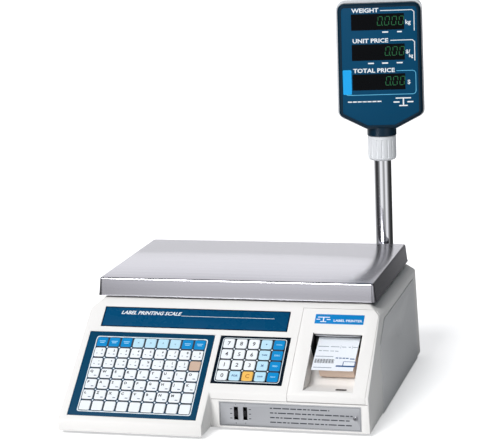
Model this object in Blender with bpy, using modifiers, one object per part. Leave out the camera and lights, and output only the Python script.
"""Label-printing retail price scale with a platter, a printer bay and a display on a pole.

Sizes are in millimetres and the helpers turn them into Blender's metres. X runs to the right as
the operator sees it, Y to the back and Z up. Z is zero on the counter, under the feet.
"""

import math

import bmesh
import bpy
from mathutils import Matrix, Vector

MM = 0.001
GAP = 0.3
WORLD = Matrix.Identity(4)

# Case
CASE_BOTTOM = 4.0
CASE_RIGHT = (202.4, 198.2, 187.0)
CASE_LEFT = (204.0, 201.6, 190.5)
CREASE_Z = 131.0
DECK_Z = 140.0
RIDGE_Z = 144.6
RIDGE_WIDTH = 6.0
KEYPAD_FRONT_Y = -216.0
PRINTER_FRONT_Y = -174.0
STEP_X = -8.0
BACK_Y = 205.0
CREASE_BACK_Y = 199.0
DECK_BACK_Y = 192.0
WALL = 3.5
SLOPE_START_Z = 52.2
SLOPE_ANGLE = math.radians(38.3)
POCKET_DEPTH = 2.4
SHEET_TOP = -0.1

# Platter and weighing parts
PLATTER_MIDDLE_X = -1.9
PLATTER_HALF_WIDTH = 193.3
PLATTER_FRONT_Y = -61.5
PLATTER_BACK_Y = 186.3
PLATTER_TOP_Z = 171.5
PLATTER_RIM_Z = 147.1
PLATTER_CORNER = 7.0
PLATTER_SHEET = 1.2
# How far each step of the skirt stands in from the rim, and how high it is above the rim
PLATTER_SKIRT = ((0.0, 0.0), (0.9, 2.6), (3.0, 20.6), (3.3, 22.4), (4.0, 23.7), (5.3, 24.4))
PLATTER_MID_Y = (PLATTER_FRONT_Y + PLATTER_BACK_Y) / 2
HUB_Y = (-14.0, 26.0)

# Keypads and windows on the slope, as x and distance up the slope
KEY_PITCH = 17.0
KEY_SIZE = 14.4
KEY_RISE = 0.9
KEY_TRAVEL = 0.6
PRESET_FRAME = (-192.0, -17.5, -45.0, 90.0)
PRESET_FIELD = (-179.5, -37.6)
PRESET_COLUMNS = 9
PRESET_ROWS = 7
NUMERIC_FRAME = (-9.2, 85.6, 13.4, 89.6)
NUMERIC_FIELD = (-4.3, 17.5)
WINDOW_FRAME = (-180.0, 78.5, 99.0, 132.0)
KEY_NAMES = (
    ("key_0", "key_for", "key_clear", "key_save", "key_print"),
    ("key_1", "key_2", "key_3", "key_multiply", "key_feed"),
    ("key_4", "key_5", "key_6", "key_tare", "key_zero"),
    ("key_7", "key_8", "key_9", "key_point", "key_total"),
)

# Printer bay
BEZEL_X = (94.8, 196.5)
BEZEL_LIP_Z = 43.3
BEZEL_END = 139.0
BEZEL_SHEET = 3.0
OUTLET_X = (114.5, 179.4)
OUTLET_SPAN = (7.5, 98.5)
ROLL_CENTRE = (60.0, 70.0)
ROLL_RADIUS = 50.0
MANDREL_RADIUS = 18.0
SPOOL_CENTRE = (140.0, 50.0)
PLATEN_POINT = (100.0, -20.0)
PLATEN_RADIUS = 7.7
HEAD_PIVOT = (124.0, -8.0)
LEVER_PIVOT = (118.0, -24.0)
MOTOR_CENTRE = (-73.5, 79.7)
MOTOR_RADIUS = 17.5
GEAR_MODULE = 7.0 / 6.0
PLATEN_TEETH = 24
PINION_TEETH = 12

# Side door
DOOR_Y = (-83.0, 174.0)
DOOR_Z = (3.0, 122.0)
DOOR_CORNER = (-46.0, 97.0)
DOOR_PROUD = 1.0
DOOR_AXIS = (196.0, 9.0)

# Pole and display head
POLE_X = 154.0
POLE_Y = 200.0
POLE_RADIUS = 12.5
POLE_Z = (70.5, 333.0)
COLLAR_Z = (291.5, 327.0)
COLLAR_RADIUS = 20.5
NECK_Z = (327.5, 345.0)
NECK_RADIUS = 20.9
HEAD_TURN = math.radians(10.0)
HEAD_HALF_WIDTH = 59.0
HEAD_TAPER = 0.9
HEAD_TOP_Z = 516.5
HEAD_SHOULDER_Z = 359.3
HEAD_FOOT_Z = 339.3
HEAD_CORNER = 10.0
HEAD_SHOULDER_CORNER = 8.6
HEAD_FACE_Y = -24.0

# The middle of the footprint, measured from the middle of the case
MIDDLE = (6.410, 7.474)

# Feet
FEET = {
    "foot_front_left": (-170.0, -180.0),
    "foot_front_right": (170.0, -140.0),
    "foot_rear_left": (-170.0, 175.0),
    "foot_rear_right": (170.0, 175.0),
}

SLOPE = Matrix(
    (
        (1.0, 0.0, 0.0, 0.0),
        (0.0, math.cos(SLOPE_ANGLE), -math.sin(SLOPE_ANGLE), PRINTER_FRONT_Y * MM),
        (0.0, math.sin(SLOPE_ANGLE), math.cos(SLOPE_ANGLE), SLOPE_START_Z * MM),
        (0.0, 0.0, 0.0, 1.0),
    )
)
HEAD = Matrix.Translation(Vector((POLE_X, POLE_Y, 0.0)) * MM) @ Matrix.Rotation(HEAD_TURN, 4, "Z")

# Axes that an outline can be extruded along: its own x and y become these world directions
ALONG = {
    "x": Matrix(((0, 0, 1, 0), (1, 0, 0, 0), (0, 1, 0, 0), (0, 0, 0, 1))),
    "y": Matrix(((1, 0, 0, 0), (0, 0, -1, 0), (0, 1, 0, 0), (0, 0, 0, 1))),
    "z": WORLD,
}


def clear_scene():
    for obj in list(bpy.data.objects):
        bpy.data.objects.remove(obj, do_unlink=True)


def collection(name):
    made = bpy.data.collections.new(name)
    bpy.context.scene.collection.children.link(made)
    return made


def material(name, colour, roughness, metallic=0.0):
    made = bpy.data.materials.new(name)
    made.use_nodes = True
    shader = made.node_tree.nodes["Principled BSDF"]
    shader.inputs["Base Color"].default_value = (*colour, 1.0)
    shader.inputs["Roughness"].default_value = roughness
    shader.inputs["Metallic"].default_value = metallic
    made.diffuse_color = (*colour, 1.0)
    return made


# ---------------------------------------------------------------- shapes


def object_from(name, bm, frame=WORLD):
    mesh = bpy.data.meshes.new(name)
    bm.to_mesh(mesh)
    bm.free()
    obj = bpy.data.objects.new(name, mesh)
    PARTS.objects.link(obj)
    obj.matrix_world = frame
    return obj


def box(name, low, high, frame=WORLD, edge=0.0):
    """A box between two corners, with its edges rounded by edge."""
    bm = bmesh.new()
    bmesh.ops.create_cube(bm, size=1.0)
    low = Vector(low) * MM
    high = Vector(high) * MM
    bmesh.ops.scale(bm, vec=high - low, verts=bm.verts)
    bmesh.ops.translate(bm, vec=(low + high) / 2, verts=bm.verts)
    obj = object_from(name, bm, frame)
    if edge:
        round_edges(obj, edge)
    return obj


def round_edges(obj, width, segments=2):
    bevel = obj.modifiers.new("round", "BEVEL")
    bevel.width = width * MM
    bevel.segments = segments
    bevel.limit_method = "ANGLE"
    bevel.angle_limit = math.radians(35)


def cylinder(name, centre, radius, start, end, axis="z", frame=WORLD, steps=32):
    """A cylinder along an axis, from start to end. Centre holds its two other coordinates."""
    bm = bmesh.new()
    bmesh.ops.create_cone(
        bm, cap_ends=True, segments=steps, radius1=radius * MM, radius2=radius * MM,
        depth=(end - start) * MM,
    )
    bmesh.ops.translate(
        bm, vec=Vector((centre[0], centre[1], (start + end) / 2)) * MM, verts=bm.verts
    )
    bmesh.ops.transform(bm, matrix=ALONG[axis], verts=bm.verts)
    if axis == "y":
        # Along y an outline's depth runs towards the front, so start and end are mirrored back.
        bmesh.ops.scale(bm, vec=(1, -1, 1), verts=bm.verts)
        bmesh.ops.reverse_faces(bm, faces=bm.faces)
    return object_from(name, bm, frame)


def prism(name, outline, start, end, axis="x", frame=WORLD):
    """A flat outline extruded along an axis. Along x it is drawn in y and z, along y in x and z."""
    curve = bpy.data.curves.new(name, "CURVE")
    curve.dimensions = "2D"
    curve.fill_mode = "BOTH"
    curve.extrude = (end - start) / 2 * MM
    spline = curve.splines.new("POLY")
    spline.points.add(len(outline) - 1)
    for point, (across, up) in zip(spline.points, outline):
        point.co = (across * MM, up * MM, 0.0, 1.0)
    spline.use_cyclic_u = True
    drawn = bpy.data.objects.new(name, curve)
    PARTS.objects.link(drawn)
    bpy.context.view_layer.update()
    mesh = bpy.data.meshes.new_from_object(drawn.evaluated_get(bpy.context.evaluated_depsgraph_get()))
    bpy.data.objects.remove(drawn)
    bpy.data.curves.remove(curve)
    bm = bmesh.new()
    bm.from_mesh(mesh)
    bpy.data.meshes.remove(mesh)
    middle = (start + end) / 2
    if axis == "y":
        middle = -middle
    bmesh.ops.remove_doubles(bm, verts=bm.verts, dist=1e-6)
    bmesh.ops.translate(bm, vec=(0, 0, middle * MM), verts=bm.verts)
    bmesh.ops.transform(bm, matrix=ALONG[axis], verts=bm.verts)
    bmesh.ops.dissolve_limit(bm, angle_limit=0.001, verts=bm.verts, edges=bm.edges)
    bmesh.ops.recalc_face_normals(bm, faces=bm.faces)
    return object_from(name, bm, frame)


def turned(name, profile, frame, steps=32, ring=False):
    """A profile of radius and height, listed down its outer side, turned about the frame's Z."""
    bm = bmesh.new()
    verts = [bm.verts.new((radius * MM, 0.0, height * MM)) for radius, height in profile]
    for first, second in zip(verts, verts[1:] + verts[:1] if ring else verts[1:]):
        bm.edges.new((first, second))
    obj = object_from(name, bm, frame)
    screw = obj.modifiers.new("turn", "SCREW")
    screw.steps = steps
    screw.render_steps = steps
    screw.use_merge_vertices = True
    screw.merge_threshold = 1e-5
    return obj


def at(x, y, z=0.0):
    return Matrix.Translation(Vector((x, y, z)) * MM)


def helper(obj):
    """Makes an object a cutter or a blank, which is no part of the scale."""
    PARTS.objects.unlink(obj)
    CUTTERS.objects.link(obj)
    obj.hide_render = True
    obj.display_type = "WIRE"
    return obj


def boolean(obj, others, operation):
    for other in others:
        step = obj.modifiers.new(operation.lower(), "BOOLEAN")
        step.operation = operation
        step.solver = "EXACT"
        step.object = helper(other)
    return obj


def cut(obj, *others):
    return boolean(obj, others, "DIFFERENCE")


def join(obj, *others):
    return boolean(obj, others, "UNION")


def keep_inside(obj, *others):
    return boolean(obj, others, "INTERSECT")


def settle(obj):
    """Applies an object's modifiers, then merges the faces that lie in one plane."""
    bpy.context.view_layer.update()
    mesh = bpy.data.meshes.new_from_object(obj.evaluated_get(bpy.context.evaluated_depsgraph_get()))
    obj.modifiers.clear()
    bm = bmesh.new()
    bm.from_mesh(mesh)
    bpy.data.meshes.remove(mesh)
    bmesh.ops.remove_doubles(bm, verts=bm.verts, dist=1e-6)
    bmesh.ops.dissolve_limit(bm, angle_limit=0.002, verts=bm.verts, edges=bm.edges)
    bm.to_mesh(obj.data)
    bm.free()
    return obj


def dress(obj, finish, smooth=False):
    obj.data.materials.append(finish)
    if smooth:
        obj.data.shade_smooth()
        obj.data.set_sharp_from_angle(angle=math.radians(35))
    return obj


def hang_on(pivot_name, location, *pieces):
    """Parents pieces to an empty on their joint's axis."""
    pivot = bpy.data.objects.new(pivot_name, None)
    PARTS.objects.link(pivot)
    pivot.matrix_world = at(*location)
    for piece in pieces:
        piece.parent = pivot
        piece.matrix_parent_inverse = at(*location).inverted()


def centre_origin():
    """Moves everything so that the origin is under the middle of the whole scale, head included."""
    for obj in bpy.data.objects:
        if obj.parent is None:
            obj.location -= Vector((*MIDDLE, 0.0)) * MM


def inset_outline(outline, distance):
    """The outline moved inwards by distance, with its corners kept sharp."""
    count = len(outline)
    area = sum(
        outline[i][0] * outline[(i + 1) % count][1] - outline[(i + 1) % count][0] * outline[i][1]
        for i in range(count)
    )
    turn = 1.0 if area > 0 else -1.0
    lines = []
    for i in range(count):
        start = Vector(outline[i])
        along = (Vector(outline[(i + 1) % count]) - start).normalized()
        inward = Vector((-along.y, along.x)) * turn
        lines.append((start + inward * distance, along))
    moved = []
    for i in range(count):
        (a, da), (b, db) = lines[i - 1], lines[i]
        cross = da.x * db.y - da.y * db.x
        reach = ((b - a).x * db.y - (b - a).y * db.x) / cross
        moved.append(tuple(a + da * reach))
    return moved


def arc(centre, radius, first, last, steps):
    """Points on an arc between two angles in degrees."""
    points = []
    for i in range(steps + 1):
        angle = math.radians(first + (last - first) * i / steps)
        points.append((centre[0] + radius * math.cos(angle), centre[1] + radius * math.sin(angle)))
    return points


def on_slope(up, out):
    """Y and Z of a point at a distance up the slope and out of it."""
    cos, sin = math.cos(SLOPE_ANGLE), math.sin(SLOPE_ANGLE)
    return (PRINTER_FRONT_Y + up * cos - out * sin, SLOPE_START_Z + up * sin + out * cos)


def slope_height(y):
    return SLOPE_START_Z + (y - PRINTER_FRONT_Y) * math.tan(SLOPE_ANGLE)


# ---------------------------------------------------------------- case


def side_view(ridge):
    """The case seen from the side, in y and z, with or without the ridge before its deck."""
    top = RIDGE_Z if ridge else DECK_Z
    slope_end = PRINTER_FRONT_Y + (top - SLOPE_START_Z) / math.tan(SLOPE_ANGLE)
    outline = [
        (KEYPAD_FRONT_Y, CASE_BOTTOM),
        (KEYPAD_FRONT_Y, slope_height(KEYPAD_FRONT_Y)),
        (slope_end, top),
    ]
    if ridge:
        outline += [(slope_end + RIDGE_WIDTH, top), (slope_end + RIDGE_WIDTH + 1.0, DECK_Z)]
    return outline + [(DECK_BACK_Y, DECK_Z), (CREASE_BACK_Y, CREASE_Z), (BACK_Y, CASE_BOTTOM)]


def flank(foot, crease, deck, bottom):
    """One side of the case seen from the front: it leans in, then slants in to the ridge's top."""
    lean = (foot - crease) / (CREASE_Z - CASE_BOTTOM)
    slant = (crease - deck) / (DECK_Z - CREASE_Z)
    top = RIDGE_Z + 1.0
    return [
        (foot + lean * (CASE_BOTTOM - bottom), bottom),
        (crease, CREASE_Z),
        (crease - slant * (top - CREASE_Z), top),
    ]


def front_view(bottom=CASE_BOTTOM):
    """The case seen from the front, with its leaning sides, in x and z."""
    left = [(-x, z) for x, z in reversed(flank(*CASE_LEFT, bottom))]
    return flank(*CASE_RIGHT, bottom) + left


def case_blank(name, inset=0.0):
    """The whole case as a solid block, or the space inside its walls."""
    reach = CASE_LEFT[0] + 10.0
    side = side_view(ridge=not inset)
    front = front_view()
    if inset:
        open_below = CASE_BOTTOM - 20.0
        side = opened(inset_outline(side, inset), open_below)
        front = opened(inset_outline(front, inset), open_below)
    blank = prism(name, side, -reach, reach)
    low = (STEP_X - inset, KEYPAD_FRONT_Y - 20.0, CASE_BOTTOM - 30.0)
    cut(blank, box(name + "_step", low, (reach + 10.0, PRINTER_FRONT_Y + inset, 80.0)))
    keep_inside(blank, prism(name + "_sides", front, KEYPAD_FRONT_Y - 20.0, BACK_Y + 20.0, "y"))
    return blank


def opened(outline, bottom):
    """The outline with its lowest points moved down to bottom."""
    lowest = min(z for _, z in outline)
    return [(across, bottom if z < lowest + 1.0 else z) for across, z in outline]


def bezel_room():
    """The space cut from the case for the printer bezel, open towards the front and upwards."""
    depth = BEZEL_SHEET + 1.2
    low = BEZEL_LIP_Z - GAP
    return [
        (PRINTER_FRONT_Y - 9.0, low),
        (PRINTER_FRONT_Y - 9.0, SLOPE_START_Z),
        on_slope(0.0, 9.0),
        on_slope(BEZEL_END + GAP, 9.0),
        on_slope(BEZEL_END + GAP, -depth),
        on_slope(4.0, -depth),
        (PRINTER_FRONT_Y + depth, low),
    ]


def bezel_outline():
    """The printer bezel seen from the side: a sheet on the slope and a lip over its front edge."""
    inner = -BEZEL_SHEET
    corner_y = PRINTER_FRONT_Y - inner
    corner_up = (corner_y - PRINTER_FRONT_Y + inner * math.sin(SLOPE_ANGLE)) / math.cos(SLOPE_ANGLE)
    return [
        (PRINTER_FRONT_Y, BEZEL_LIP_Z),
        (PRINTER_FRONT_Y, SLOPE_START_Z),
        on_slope(BEZEL_END, 0.0),
        on_slope(BEZEL_END, inner),
        on_slope(corner_up, inner),
        (corner_y, BEZEL_LIP_Z),
    ]


def slope_box(name, frame, low, high, grow=0.0):
    """A box over one of the frames on the slope, from a depth to a height, grown all round."""
    left, right, start, end = frame
    return box(name, (left - grow, start - grow, low), (right + grow, end + grow, high), SLOPE)


def door_outline(grow=0.0):
    outline = [
        (DOOR_Y[0], DOOR_Z[0]),
        (DOOR_Y[1], DOOR_Z[0]),
        (DOOR_Y[1], DOOR_Z[1]),
        (DOOR_CORNER[0], DOOR_Z[1]),
        (DOOR_Y[0], DOOR_CORNER[1]),
    ]
    return inset_outline(outline, -grow) if grow else outline


def pole_socket_outline(grow=0.0):
    """The pole bracket from above: straight sides and a round back about the pole."""
    half = 16.0 + grow
    return [(POLE_X + half, 185.0 - grow)] + arc((POLE_X, POLE_Y), half, 0, 180, 16) + [
        (POLE_X - half, 185.0 - grow)
    ]


def build_case():
    case = settle(case_blank("upper_case"))
    round_edges(case, 2.0)
    case.modifiers.new("flat_faces", "TRIANGULATE")
    hollow = case_blank("case_hollow", WALL)
    cut(hollow, box("socket_wall", (POLE_X - 20.5, 180.5, 54.0), (POLE_X + 20.5, 240, 160)))
    cut(case, hollow)
    # Lugs that carry the side door's stub pins
    front_lug = box("front_lug", (192.0, -97.0, 4.6), (200.5, DOOR_Y[0] - 0.6, 14.0))
    rear_lug = box("rear_lug", (192.0, DOOR_Y[1] + 0.6, 4.6), (200.5, 188.0, 14.0))
    join(case, front_lug, rear_lug)
    cut(
        case,
        slope_box("preset_pocket", PRESET_FRAME, -POCKET_DEPTH, 5.0, GAP),
        slope_box("numeric_pocket", NUMERIC_FRAME, -POCKET_DEPTH, 5.0, GAP),
        slope_box("window_pocket", WINDOW_FRAME, -POCKET_DEPTH, 5.0, GAP),
        box("window_view", (-170.0, 104.0, -10.0), (68.0, 127.0, 0.0), SLOPE),
        box("preset_tail", (-120.0, 20.0, -10.0), (-90.0, 26.0, 0.0), SLOPE),
        box("numeric_tail", (30.0, 50.0, -10.0), (50.0, 56.0, 0.0), SLOPE),
        prism("bezel_opening", bezel_room(), BEZEL_X[0] - GAP, BEZEL_X[1] + GAP),
        box("hub_opening", (-27.0, HUB_Y[0] - 8.0, 120.0), (27.0, HUB_Y[1] + 8.0, 150.0)),
        prism("door_opening", door_outline(0.4), 192.0, 215.0),
        cylinder("front_pin_hole", DOOR_AXIS, 2.3, -92.0, -75.0, "y", steps=20),
        cylinder("rear_pin_hole", DOOR_AXIS, 2.3, 166.0, 183.0, "y", steps=20),
        prism("socket_opening", pole_socket_outline(0.5), 59.5, 160.0, "z"),
        box("inlet_opening", (45.7, 190.0, 23.7), (76.3, 215.0, 48.3)),
        box("port_opening", (-58.3, 190.0, 25.7), (-25.7, 215.0, 38.3)),
        box("plate_pocket", (4.2, -180.0, 7.2), (191.3, -173.0, 39.8)),
        box("switch_opening", (21.0, -180.0, 12.0), (45.0, -165.0, 37.0)),
        cylinder("screw_hole", (183.8, 24.2), 1.7, -180.0, -165.0, "y", steps=16),
    )
    return dress(case, WHITE)


def build_base_pan():
    left, right = -197.8, 197.8
    outline = [
        (left, -212.0), (STEP_X - 4.0, -212.0), (STEP_X - 4.0, -170.0), (right, -170.0),
        (right, -102.0), (189.0, -102.0), (189.0, 191.0), (right, 191.0), (right, 199.8),
        (left, 199.8),
    ]
    pan = prism("base_pan", outline, 5.0, 6.5, "z")
    join(pan, box("cell_pedestal", (-22.0, 98.0, 6.0), (22.0, 138.0, 60.0)))
    for name, (x, y) in FEET.items():
        cut(pan, cylinder(name + "_hole", (x, y), 4.4, 0.0, 10.0, steps=24))
    return dress(pan, STEEL)


def build_side_door():
    door = prism("side_door", door_outline(), 185.0, 215.0)
    skin = inset_outline(front_view(0.0), -DOOR_PROUD)
    keep_inside(door, prism("door_skin", skin, -100.0, 190.0, "y"))
    # The lower edge is cut back, so that it swings clear of the counter
    toe = [(201.2, 2.0), (206.0, 2.0), (206.0, 8.0)]
    cut(door, prism("door_toe", toe, -100.0, 190.0, "y"))
    cut(door, prism("door_back", inset_outline(front_view(-20.0), BEZEL_SHEET), -110.0, 200.0, "y"))
    for name, start, end, pin in (
        ("front", DOOR_Y[0] + 0.4, DOOR_Y[0] + 13.0, (-91.0, DOOR_Y[0] + 2.0)),
        ("rear", DOOR_Y[1] - 13.0, DOOR_Y[1] - 0.4, (DOOR_Y[1] - 2.0, 182.0)),
    ):
        join(
            door,
            box(name + "_knuckle", (192.5, start, 5.0), (200.5, end, 13.0)),
            cylinder(name + "_stub", DOOR_AXIS, 2.0, pin[0], pin[1], "y", steps=20),
        )
    cut(door, finger_recess())
    hang_on("door_axis", (DOOR_AXIS[0], 45.5, DOOR_AXIS[1]), door)
    return dress(door, WHITE)


def finger_recess():
    """A shallow oval dish that a finger pulls the door open by."""
    bm = bmesh.new()
    bmesh.ops.create_uvsphere(bm, u_segments=32, v_segments=16, radius=1.0)
    bmesh.ops.scale(bm, vec=Vector((6.0, 28.0, 16.0)) * MM, verts=bm.verts)
    bmesh.ops.translate(bm, vec=Vector((204.2, 48.0, 86.0)) * MM, verts=bm.verts)
    return object_from("finger_recess", bm)


def build_bezel():
    bezel = prism("printer_bezel", bezel_outline(), *BEZEL_X)
    tub = [(4.0, -1.0), (26.0, -22.0), (30.0, -26.0), (76.0, -26.0), (76.0, -1.0)]
    cavity = [(OUTLET_SPAN[0], 1.0), (OUTLET_SPAN[0], 0.0), (30.0, -21.0), (36.0, -23.8),
              (77.0, -23.8), (77.0, -2.0), (OUTLET_SPAN[1], -2.0), (OUTLET_SPAN[1], 1.0)]
    join(bezel, prism("tub", tub, OUTLET_X[0] - 2.2, OUTLET_X[1] + 2.2, "x", SLOPE))
    cut(
        bezel,
        prism("recess", cavity, *OUTLET_X, "x", SLOPE),
        box("outlet", (OUTLET_X[0], 75.0, -10.0), (OUTLET_X[1], OUTLET_SPAN[1], 1.0), SLOPE),
    )
    keep_inside(bezel, prism("bezel_skin", front_view(), -200.0, 0.0, "y"))
    return dress(bezel, WHITE)


def build_front_plate():
    plate = box("spec_plate", (4.5, -174.0, 7.5), (191.0, -173.3, 39.5))
    cut(
        plate,
        box("power_slot", (24.0, -180.0, 15.9), (29.4, -170.0, 33.3)),
        box("range_slot", (36.3, -180.0, 15.9), (41.7, -170.0, 33.3)),
        cylinder("plate_hole", (183.8, 24.2), 1.7, -180.0, -170.0, "y", steps=16),
    )
    dress(plate, BRUSHED)
    profile = [(0.0, 1.5), (2.0, 1.3), (2.9, 0.6), (2.9, 0.1), (1.3, 0.1), (1.3, -6.0), (0.0, -6.0)]
    out_of_front = at(183.8, -174.0, 24.2) @ Matrix.Rotation(math.radians(90), 4, "X")
    dress(turned("plate_screw", profile, out_of_front, 16), STEEL, True)
    for name, x in (("power_switch", 26.7), ("range_switch", 39.0)):
        knob = box(name, (-2.2, -1.6, -3.8), (2.2, 7.0, 3.8), at(x, -174.0, 24.6), 0.5)
        dress(knob, BLACK)


# ---------------------------------------------------------------- operator side


def build_preset_keypad():
    """One sheet with a raised square for each preset key."""
    sheet = slope_box("preset_keypad", PRESET_FRAME, -POCKET_DEPTH + GAP, SHEET_TOP)
    bm = bmesh.new()
    bmesh.ops.create_grid(bm, x_segments=PRESET_COLUMNS, y_segments=PRESET_ROWS, size=0.5)
    size = Vector((PRESET_COLUMNS, PRESET_ROWS, 1.0)) * KEY_PITCH * MM
    bmesh.ops.scale(bm, vec=(size.x, size.y, 1.0), verts=bm.verts)
    start = Vector((PRESET_FIELD[0] * MM + size.x / 2, PRESET_FIELD[1] * MM + size.y / 2, -0.5 * MM))
    bmesh.ops.translate(bm, vec=start, verts=bm.verts)
    raised = list(bm.faces)
    rim = bmesh.ops.extrude_face_region(bm, geom=raised)
    floor = [item for item in rim["geom"] if isinstance(item, bmesh.types.BMVert)]
    bmesh.ops.translate(bm, vec=(0, 0, 0.6 * MM), verts=floor)
    tops = [face for face in bm.faces if face.normal.z > 0.5 and face.calc_center_median().z > 0]
    gap = (KEY_PITCH - KEY_SIZE) / 2 * MM
    bmesh.ops.inset_individual(bm, faces=tops, thickness=gap, use_even_offset=True)
    bmesh.ops.inset_individual(bm, faces=tops, thickness=0.6 * MM, depth=0.8 * MM)
    bmesh.ops.recalc_face_normals(bm, faces=bm.faces)
    join(sheet, object_from("preset_squares", bm, SLOPE))
    return dress(sheet, NAVY)


def build_numeric_keypad():
    frame = slope_box("numeric_keypad", NUMERIC_FRAME, -POCKET_DEPTH + GAP, SHEET_TOP)
    well = KEY_SIZE + 2 * GAP
    for row, names in enumerate(KEY_NAMES):
        for column, name in enumerate(names):
            x = NUMERIC_FIELD[0] + (column + 0.5) * KEY_PITCH
            up = NUMERIC_FIELD[1] + (row + 0.5) * KEY_PITCH
            hole = box(
                name + "_well",
                (x - well / 2, up - well / 2, -6.0),
                (x + well / 2, up + well / 2, 3.0),
                SLOPE,
            )
            cut(frame, hole)
            build_key(name, x, up)
    return dress(frame, DARK)


def build_key(name, x, up):
    """A key cap: a square block whose top is drawn in a little."""
    bottom = -POCKET_DEPTH + GAP + KEY_TRAVEL
    bm = bmesh.new()
    bmesh.ops.create_cube(bm, size=1.0)
    height = KEY_RISE - bottom
    bmesh.ops.scale(bm, vec=Vector((KEY_SIZE, KEY_SIZE, height)) * MM, verts=bm.verts)
    bmesh.ops.translate(bm, vec=(0, 0, (KEY_RISE + bottom) / 2 * MM), verts=bm.verts)
    top = [face for face in bm.faces if face.normal.z > 0.5]
    bmesh.ops.bevel(
        bm, geom=top[0].edges[:], offset=0.8 * MM, segments=2, profile=0.5, affect="EDGES"
    )
    key = object_from(name, bm, SLOPE @ at(x, up))
    if name in ("key_print", "key_feed", "key_zero", "key_total"):
        return dress(key, BLUE)
    if name == "key_clear":
        return dress(key, ORANGE)
    if name in ("key_for", "key_save", "key_multiply", "key_tare", "key_point"):
        return dress(key, LIGHT_BLUE)
    return dress(key, KEY_WHITE)


def build_operator_window():
    window = slope_box("operator_window", WINDOW_FRAME, -POCKET_DEPTH + GAP, SHEET_TOP)
    dress(window, NAVY)
    board = box("operator_display", (-165.0, 106.0, -8.0), (63.0, 125.0, -6.4), SLOPE)
    join(
        board,
        box("glass_weight", (-150.0, 109.0, -7.0), (-85.0, 122.0, -3.8), SLOPE),
        box("glass_price", (-75.0, 109.0, -7.0), (-15.0, 122.0, -3.8), SLOPE),
        box("glass_total", (-5.0, 109.0, -7.0), (55.0, 122.0, -3.8), SLOPE),
    )
    dress(board, BOARD)


# ---------------------------------------------------------------- weighing parts


def platter_loop(inset):
    """The platter's outline from above, in x and y, set in from its rim, with round corners."""
    half = PLATTER_HALF_WIDTH - inset
    front, back = PLATTER_FRONT_Y + inset, PLATTER_BACK_Y - inset
    corner = PLATTER_CORNER - inset
    points = []
    for x, y, first in (
        (half - corner, back - corner, 0), (corner - half, back - corner, 90),
        (corner - half, front + corner, 180), (half - corner, front + corner, 270),
    ):
        points += arc((PLATTER_MIDDLE_X + x, y), corner, first, first + 90, 6)
    return points


def build_platter():
    """A pressed steel tray, open below, whose skirt leans out and ends in a wider hem."""
    bm = bmesh.new()
    loops = []
    for inset, rise in PLATTER_SKIRT:
        z = PLATTER_RIM_Z + rise
        loops.append([bm.verts.new(Vector((x, y, z)) * MM) for x, y in platter_loop(inset)])
    for lower, upper in zip(loops, loops[1:]):
        for i in range(len(lower)):
            j = (i + 1) % len(lower)
            bm.faces.new((lower[i], lower[j], upper[j], upper[i]))
    bm.faces.new(loops[-1])
    bmesh.ops.recalc_face_normals(bm, faces=bm.faces)
    platter = object_from("platter", bm)
    sheet = platter.modifiers.new("sheet", "SOLIDIFY")
    sheet.thickness = PLATTER_SHEET * MM
    sheet.offset = -1.0
    sheet.use_even_offset = True
    hang_on("platter_lift", (0.0, PLATTER_MID_Y, PLATTER_TOP_Z), platter)
    return dress(platter, BRUSHED, True)


def build_spider():
    """The cross that rests on the load cell and carries the platter on four rubber buttons."""
    low, high = 149.0, 156.0
    spider = box("spider", (-20.0, HUB_Y[0], 88.4), (20.0, HUB_Y[1], 152.0))
    join(
        spider,
        box("front_bar", (-150.0, HUB_Y[0] + 6.0, low), (150.0, HUB_Y[1] - 6.0, high)),
        box("rear_bar", (-150.0, 120.0, low), (150.0, 148.0, high)),
        box("left_bar", (-150.0, -40.0, low), (-124.0, 165.0, high)),
        box("right_bar", (124.0, -40.0, low), (150.0, 165.0, high)),
    )
    for x in (-137.0, 137.0):
        for y in (-30.0, 154.0):
            join(spider, cylinder("pad", (x, y), 8.0, high - 1.0, 169.9, steps=20))
    hang_on("weighing_axis", (0.0, sum(HUB_Y) / 2, 88.4), spider)
    return dress(spider, CAST)


def build_load_cell():
    cell = box("load_cell", (-20.0, HUB_Y[0], 60.4), (20.0, 138.0, 88.0), edge=0.8)
    middle = 74.2
    cut(
        cell,
        cylinder("front_flexure", (45.0, middle), 10.0, -25.0, 25.0, "x"),
        cylinder("rear_flexure", (79.0, middle), 10.0, -25.0, 25.0, "x"),
        box("flexure_slot", (-25.0, 45.0, middle - 3.0), (25.0, 79.0, middle + 3.0)),
    )
    return dress(cell, ALUMINIUM)


def build_feet():
    profile = [(0.0, 11.4), (4.0, 11.4), (4.0, 3.6), (12.0, 3.2), (13.0, 2.2), (13.0, 0.5),
               (12.5, 0.0), (0.0, 0.0)]
    for name, (x, y) in FEET.items():
        dress(turned(name, profile, at(x, y), 24), RUBBER, True)


# ---------------------------------------------------------------- electronics


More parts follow.
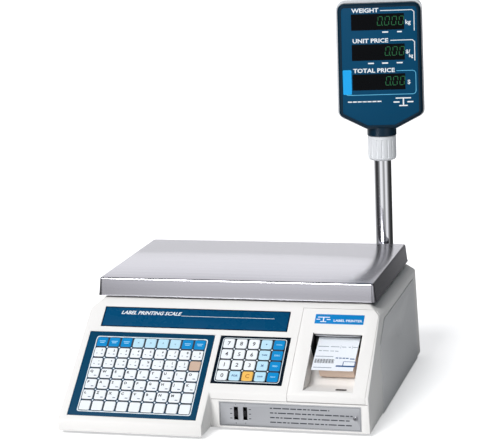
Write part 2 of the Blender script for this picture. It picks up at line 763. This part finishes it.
def build_electronics():
    board = box("main_board", (-180.0, 30.0, 16.0), (-40.0, 190.0, 17.6))
    join(
        board,
        box("processor", (-130.0, 90.0, 17.0), (-100.0, 120.0, 20.5)),
        box("memory", (-85.0, 90.0, 17.0), (-70.0, 130.0, 21.5)),
        box("connector", (-170.0, 60.0, 17.0), (-162.0, 110.0, 26.0)),
        box("converter", (-80.0, 45.0, 17.0), (-55.0, 65.0, 27.0)),
    )
    dress(board, BOARD)
    supply = box("power_supply", (32.0, 90.0, 9.0), (94.0, 180.0, 46.0), edge=1.5)
    dress(supply, STEEL)
    inlet = box("power_inlet", (46.0, 183.0, 24.0), (76.0, 206.0, 48.0), edge=1.0)
    cut(inlet, box("inlet_socket", (49.0, 189.0, 27.0), (73.0, 210.0, 45.0)))
    dress(inlet, BLACK)
    port = box("data_port", (-58.0, 192.0, 26.0), (-26.0, 206.0, 38.0), edge=1.0)
    cut(port, box("port_socket", (-53.0, 200.0, 29.0), (-31.0, 210.0, 35.0)))
    dress(port, BLACK)


# ---------------------------------------------------------------- printer


def gear_outline(centre, teeth, turn):
    """A spur gear's outline. Turn is the angle of the middle of its first tooth, in degrees."""
    pitch_radius = teeth * GEAR_MODULE / 2
    root = pitch_radius - 1.25 * GEAR_MODULE
    tip = pitch_radius + 0.85 * GEAR_MODULE
    step = 360.0 / teeth
    points = []
    for tooth in range(teeth):
        middle = turn + tooth * step
        for radius, share in ((root, -0.33), (tip, -0.13), (tip, 0.13), (root, 0.33)):
            angle = math.radians(middle + share * step)
            points.append((centre[0] + radius * math.cos(angle), centre[1] + radius * math.sin(angle)))
    return points


def mesh_angle():
    """The direction from the platen's axis to the motor's, in degrees."""
    platen = on_slope(*PLATEN_POINT)
    return math.degrees(math.atan2(MOTOR_CENTRE[1] - platen[1], MOTOR_CENTRE[0] - platen[0]))


def build_printer_frame():
    base_z = (12.0, 14.0)
    front = -96.6
    left_outline = [
        (front, base_z[0]), (170.0, base_z[0]), (170.0, 131.0), on_slope(133.0, -4.6),
        on_slope(95.0, -4.6),
    ]
    right_outline = [
        (front, base_z[0]), (-50.0, base_z[0]), (-40.0, 60.0), (-40.0, 131.0),
        on_slope(133.0, -4.6), on_slope(95.0, -4.6),
    ]
    frame = prism("printer_frame", left_outline, 106.0, 108.5)
    platen = on_slope(*PLATEN_POINT)
    head = on_slope(*HEAD_PIVOT)
    lever = on_slope(*LEVER_PIVOT)
    join(
        frame,
        box("frame_floor", (107.0, front, base_z[0]), (188.0, 170.0, base_z[1])),
        prism("right_plate", right_outline, 186.0, 188.5),
        cylinder("mandrel", ROLL_CENTRE, MANDREL_RADIUS, 107.0, 176.0, "x"),
    )
    cut(
        frame,
        cylinder("platen_bore", platen, 3.3, 100.0, 195.0, "x", steps=24),
        cylinder("head_bore", head, 2.8, 100.0, 195.0, "x", steps=24),
        cylinder("lever_bore", lever, 3.3, 180.0, 195.0, "x", steps=24),
        cylinder("motor_bore", MOTOR_CENTRE, 3.0, 100.0, 110.0, "x", steps=24),
        cylinder("spool_bore", SPOOL_CENTRE, 4.3, 100.0, 110.0, "x", steps=24),
    )
    return dress(frame, STEEL)


def build_printer():
    platen = on_slope(*PLATEN_POINT)
    roller = cylinder("platen_roller", platen, PLATEN_RADIUS, 116.0, 181.0, "x")
    join(
        roller,
        cylinder("platen_shaft", platen, 3.0, 104.0, 189.4, "x", steps=24),
        prism("platen_gear", gear_outline(platen, PLATEN_TEETH, mesh_angle()), 110.0, 114.0),
    )
    hang_on("platen_axis", (150.0, *platen), dress(roller, RUBBER))

    pinion_turn = mesh_angle() + 180.0 + 180.0 / PINION_TEETH
    pinion = prism(
        "motor_pinion", gear_outline(MOTOR_CENTRE, PINION_TEETH, pinion_turn), 109.6, 114.4
    )
    join(pinion, cylinder("motor_shaft", MOTOR_CENTRE, 2.0, 92.0, 116.0, "x", steps=20))
    hang_on("motor_axis", (112.0, *MOTOR_CENTRE), dress(pinion, BRASS))

    motor = cylinder("feed_motor", MOTOR_CENTRE, MOTOR_RADIUS, 84.0, 105.6, "x")
    cut(motor, cylinder("motor_bearing", MOTOR_CENTRE, 2.4, 91.0, 110.0, "x", steps=20))
    dress(motor, BLACK)

    head = box("print_head", (116.0, 100.8, -11.4), (182.0, 127.0, -4.7), SLOPE)
    pivot = on_slope(*HEAD_PIVOT)
    join(head, cylinder("head_pin", pivot, 2.4, 104.5, 190.0 - 0.6, "x", steps=20))
    hang_on("head_axis", (150.0, *pivot), dress(head, BLACK))

    lever_at = on_slope(*LEVER_PIVOT)
    lever = cylinder("head_lever", lever_at, 7.0, 190.2, 193.0, "x")
    join(
        lever,
        cylinder("lever_shaft", lever_at, 3.0, 184.0, 191.5, "x", steps=20),
        box(
            "lever_arm",
            (190.2, lever_at[0], lever_at[1] - 3.5),
            (193.0, lever_at[0] + 34.0, lever_at[1] + 3.5),
        ),
    )
    hang_on("lever_axis", (190.0, *lever_at), dress(lever, BLUE))

    peel = [(43.5, -19.0), (48.0, -22.5), (88.0, -22.5), (88.0, -11.2), (43.5, -3.4)]
    dress(prism("peel_block", peel, 128.5, 174.6, "x", SLOPE), BEIGE)


def build_paper():
    roll_y, roll_z = ROLL_CENTRE
    profile = [(ROLL_RADIUS, 30.0), (ROLL_RADIUS, -30.0), (20.0, -30.0), (20.0, 30.0)]
    across = at(148.5, roll_y, roll_z) @ Matrix.Rotation(math.radians(90), 4, "Y")
    roll = turned("label_roll", profile, across, 48, ring=True)
    dress(roll, PAPER, True)

    top = roll_z + ROLL_RADIUS + 0.4
    web = [
        on_slope(41.0, -1.6), on_slope(100.0, -12.0), on_slope(128.0, -12.0), (roll_y - 10.0, top),
        (roll_y - 10.0, top + 0.4), on_slope(128.0, -11.65), on_slope(100.0, -11.65),
        on_slope(41.0, -1.25),
    ]
    dress(prism("label_strip", web, 119.9, 174.6), PAPER)

    profile = [(0.0, 34.0), (22.0, 34.0), (22.0, 32.5), (9.0, 32.0), (9.0, -28.0), (22.0, -28.5),
               (22.0, -30.0), (4.0, -30.0), (4.0, -44.0), (0.0, -44.0)]
    spool_frame = at(144.0, *SPOOL_CENTRE) @ Matrix.Rotation(math.radians(90), 4, "Y")
    dress(turned("rewind_spool", profile, spool_frame, 32), BLACK, True)


# ---------------------------------------------------------------- pole and head


def fillet(before, corner, after, radius, steps):
    """The points of the arc that rounds one corner of an outline."""
    point = Vector(corner)
    towards = (Vector(before) - point).normalized()
    away = (Vector(after) - point).normalized()
    half = towards.angle(away) / 2
    centre = point + (towards + away).normalized() * radius / math.sin(half)
    start = point + towards * radius / math.tan(half) - centre
    end = point + away * radius / math.tan(half) - centre
    return [tuple(centre + start.slerp(end, i / steps) * radius) for i in range(steps + 1)]


def head_outline(grow=0.0, with_neck=True):
    """The display head seen from its front: round corners, and a taper to the neck."""
    half = HEAD_HALF_WIDTH + grow
    upper = half - HEAD_TAPER
    top = HEAD_TOP_Z + grow
    corner = HEAD_CORNER + grow
    neck = NECK_RADIUS - (0.3 if with_neck else -1.2)
    foot = (neck, HEAD_FOOT_Z - grow * 0.5)
    shoulder = (half, HEAD_SHOULDER_Z - grow * 0.5)
    right = fillet(foot, shoulder, (upper, top - corner), HEAD_SHOULDER_CORNER + grow, 5)
    right += arc((upper - corner, top - corner), corner, 0, 90, 6)
    left = [(-x, z) for x, z in reversed(right)]
    return right + left + [(-foot[0], foot[1]), foot]


def bevel_end(obj, at_y, width):
    """Chamfers the edges round the face that looks along y at at_y."""
    bm = bmesh.new()
    bm.from_mesh(obj.data)
    ring = [
        edge for edge in bm.edges
        if all(abs(vert.co.y - at_y * MM) < 1e-5 for vert in edge.verts)
    ]
    bmesh.ops.bevel(bm, geom=ring, offset=width * MM, segments=1, affect="EDGES")
    bm.to_mesh(obj.data)
    bm.free()


def build_head():
    face = HEAD_FACE_Y
    bezel = prism("head_front_bezel", head_outline(), face, -4.0, "y", HEAD)
    bevel_end(bezel, face, 3.2)
    neck = cylinder("neck", (0.0, 0.0), NECK_RADIUS, *NECK_Z, frame=HEAD, steps=40)
    join(bezel, neck)
    cut(
        bezel,
        prism("bezel_hollow", inset_outline(head_outline(), 3.0), -19.5, 30.0, "y", HEAD),
        prism("lens_pocket", inset_outline(head_outline(), 5.0), -30.0, -22.6, "y", HEAD),
        box("display_view", (-45.0, -30.0, 385.0), (45.0, -15.0, 505.0), HEAD),
        cylinder("pole_bore", (0.0, 0.0), POLE_RADIUS + GAP, 320.0, 350.0, frame=HEAD, steps=40),
    )
    dress(bezel, NAVY)
    lens = prism("head_lens", inset_outline(head_outline(), 5.3), -23.9, -22.9, "y", HEAD)
    dress(lens, GLASS_DARK)

    rear = prism("head_rear_shell", head_outline(2.5, False), -13.0, 22.0, "y", HEAD)
    bevel_end(rear, 22.0, 8.0)
    cut(
        rear,
        prism("rear_hollow", inset_outline(head_outline(), -GAP), -20.0, 10.0, "y", HEAD),
        prism("rear_depth", inset_outline(head_outline(), 8.0), 5.0, 19.5, "y", HEAD),
        cylinder("neck_room", (0.0, 0.0), NECK_RADIUS + 0.6, 320.0, 346.0, frame=HEAD, steps=40),
    )
    dress(rear, PALE)

    board = box("head_display_board", (-48.0, -14.5, 375.0), (48.0, -12.9, 508.0), HEAD)
    for name, low in (("weight_tube", 478.0), ("price_tube", 436.0), ("total_tube", 394.0)):
        join(board, box(name, (-42.0, -19.0, low), (36.0, -14.0, low + 24.0), HEAD))
    dress(board, BOARD)
    hang_on("head_swivel", (POLE_X, POLE_Y, HEAD_FOOT_Z), bezel, lens, rear, board)


def build_pole():
    profile = [
        (POLE_RADIUS, POLE_Z[1]), (POLE_RADIUS, POLE_Z[0]),
        (POLE_RADIUS - 1.5, POLE_Z[0]), (POLE_RADIUS - 1.5, POLE_Z[1]),
    ]
    dress(turned("pole_tube", profile, at(POLE_X, POLE_Y), 40, ring=True), CHROME, True)
    bracket = prism("pole_bracket", pole_socket_outline(), 60.0, 139.5, "z")
    cut(bracket, cylinder("pole_socket", (POLE_X, POLE_Y), POLE_RADIUS + GAP, 70.0, 150.0, steps=40))
    dress(bracket, PALE)

    flutes = 16
    points_each = 6
    outline = []
    for i in range(flutes * points_each):
        angle = 2 * math.pi * i / (flutes * points_each)
        radius = COLLAR_RADIUS - 0.9 * max(0.0, math.cos(flutes * angle))
        outline.append((POLE_X + radius * math.cos(angle), POLE_Y + radius * math.sin(angle)))
    collar = prism("collar_nut", outline, *COLLAR_Z, "z")
    low, high = COLLAR_Z
    dome = [(0.0, high + 1.0), (COLLAR_RADIUS + 1.0, high + 1.0), (COLLAR_RADIUS + 1.0, low + 10.0),
            (COLLAR_RADIUS - 1.2, low + 6.0), (COLLAR_RADIUS - 4.0, low + 2.5), (14.5, low),
            (0.0, low)]
    keep_inside(collar, turned("collar_dome", dome, at(POLE_X, POLE_Y), 48))
    bore = cylinder("collar_bore", (POLE_X, POLE_Y), POLE_RADIUS + GAP, low - 5, high + 5, steps=40)
    cut(collar, bore)
    hang_on("collar_axis", (POLE_X, POLE_Y, low), dress(collar, PALE))


clear_scene()
PARTS = collection("price_scale")
CUTTERS = collection("cutters")

WHITE = material("white_abs", (0.85, 0.84, 0.82), 0.42)
PALE = material("pale_grey_abs", (0.72, 0.74, 0.76), 0.45)
NAVY = material("navy_panel", (0.0, 0.07, 0.15), 0.3)
DARK = material("dark_navy_panel", (0.005, 0.02, 0.035), 0.35)
BLUE = material("blue_key", (0.0, 0.24, 0.55), 0.4)
LIGHT_BLUE = material("light_blue_key", (0.5, 0.74, 0.85), 0.4)
ORANGE = material("orange_key", (0.85, 0.5, 0.12), 0.4)
KEY_WHITE = material("white_key", (0.82, 0.84, 0.86), 0.4)
BEIGE = material("beige_plastic", (0.6, 0.48, 0.38), 0.5)
BLACK = material("black_plastic", (0.015, 0.015, 0.017), 0.4)
GLASS_DARK = material("dark_lens", (0.0, 0.06, 0.12), 0.12)
RUBBER = material("rubber", (0.03, 0.03, 0.03), 0.8)
BRUSHED = material("brushed_steel", (0.62, 0.62, 0.64), 0.32, 1.0)
STEEL = material("steel_sheet", (0.5, 0.5, 0.5), 0.45, 1.0)
CHROME = material("polished_tube", (0.75, 0.75, 0.76), 0.12, 1.0)
ALUMINIUM = material("aluminium", (0.7, 0.7, 0.71), 0.4, 1.0)
CAST = material("cast_aluminium", (0.55, 0.55, 0.56), 0.6, 1.0)
BRASS = material("brass", (0.7, 0.5, 0.2), 0.35, 1.0)
BOARD = material("circuit_board", (0.02, 0.2, 0.08), 0.5)
PAPER = material("paper", (0.88, 0.9, 0.93), 0.7)

build_case()
build_base_pan()
build_side_door()
build_bezel()
build_front_plate()
build_preset_keypad()
build_numeric_keypad()
build_operator_window()
build_platter()
build_spider()
build_load_cell()
build_feet()
build_electronics()
build_printer_frame()
build_printer()
build_paper()
build_head()
build_pole()
centre_origin()
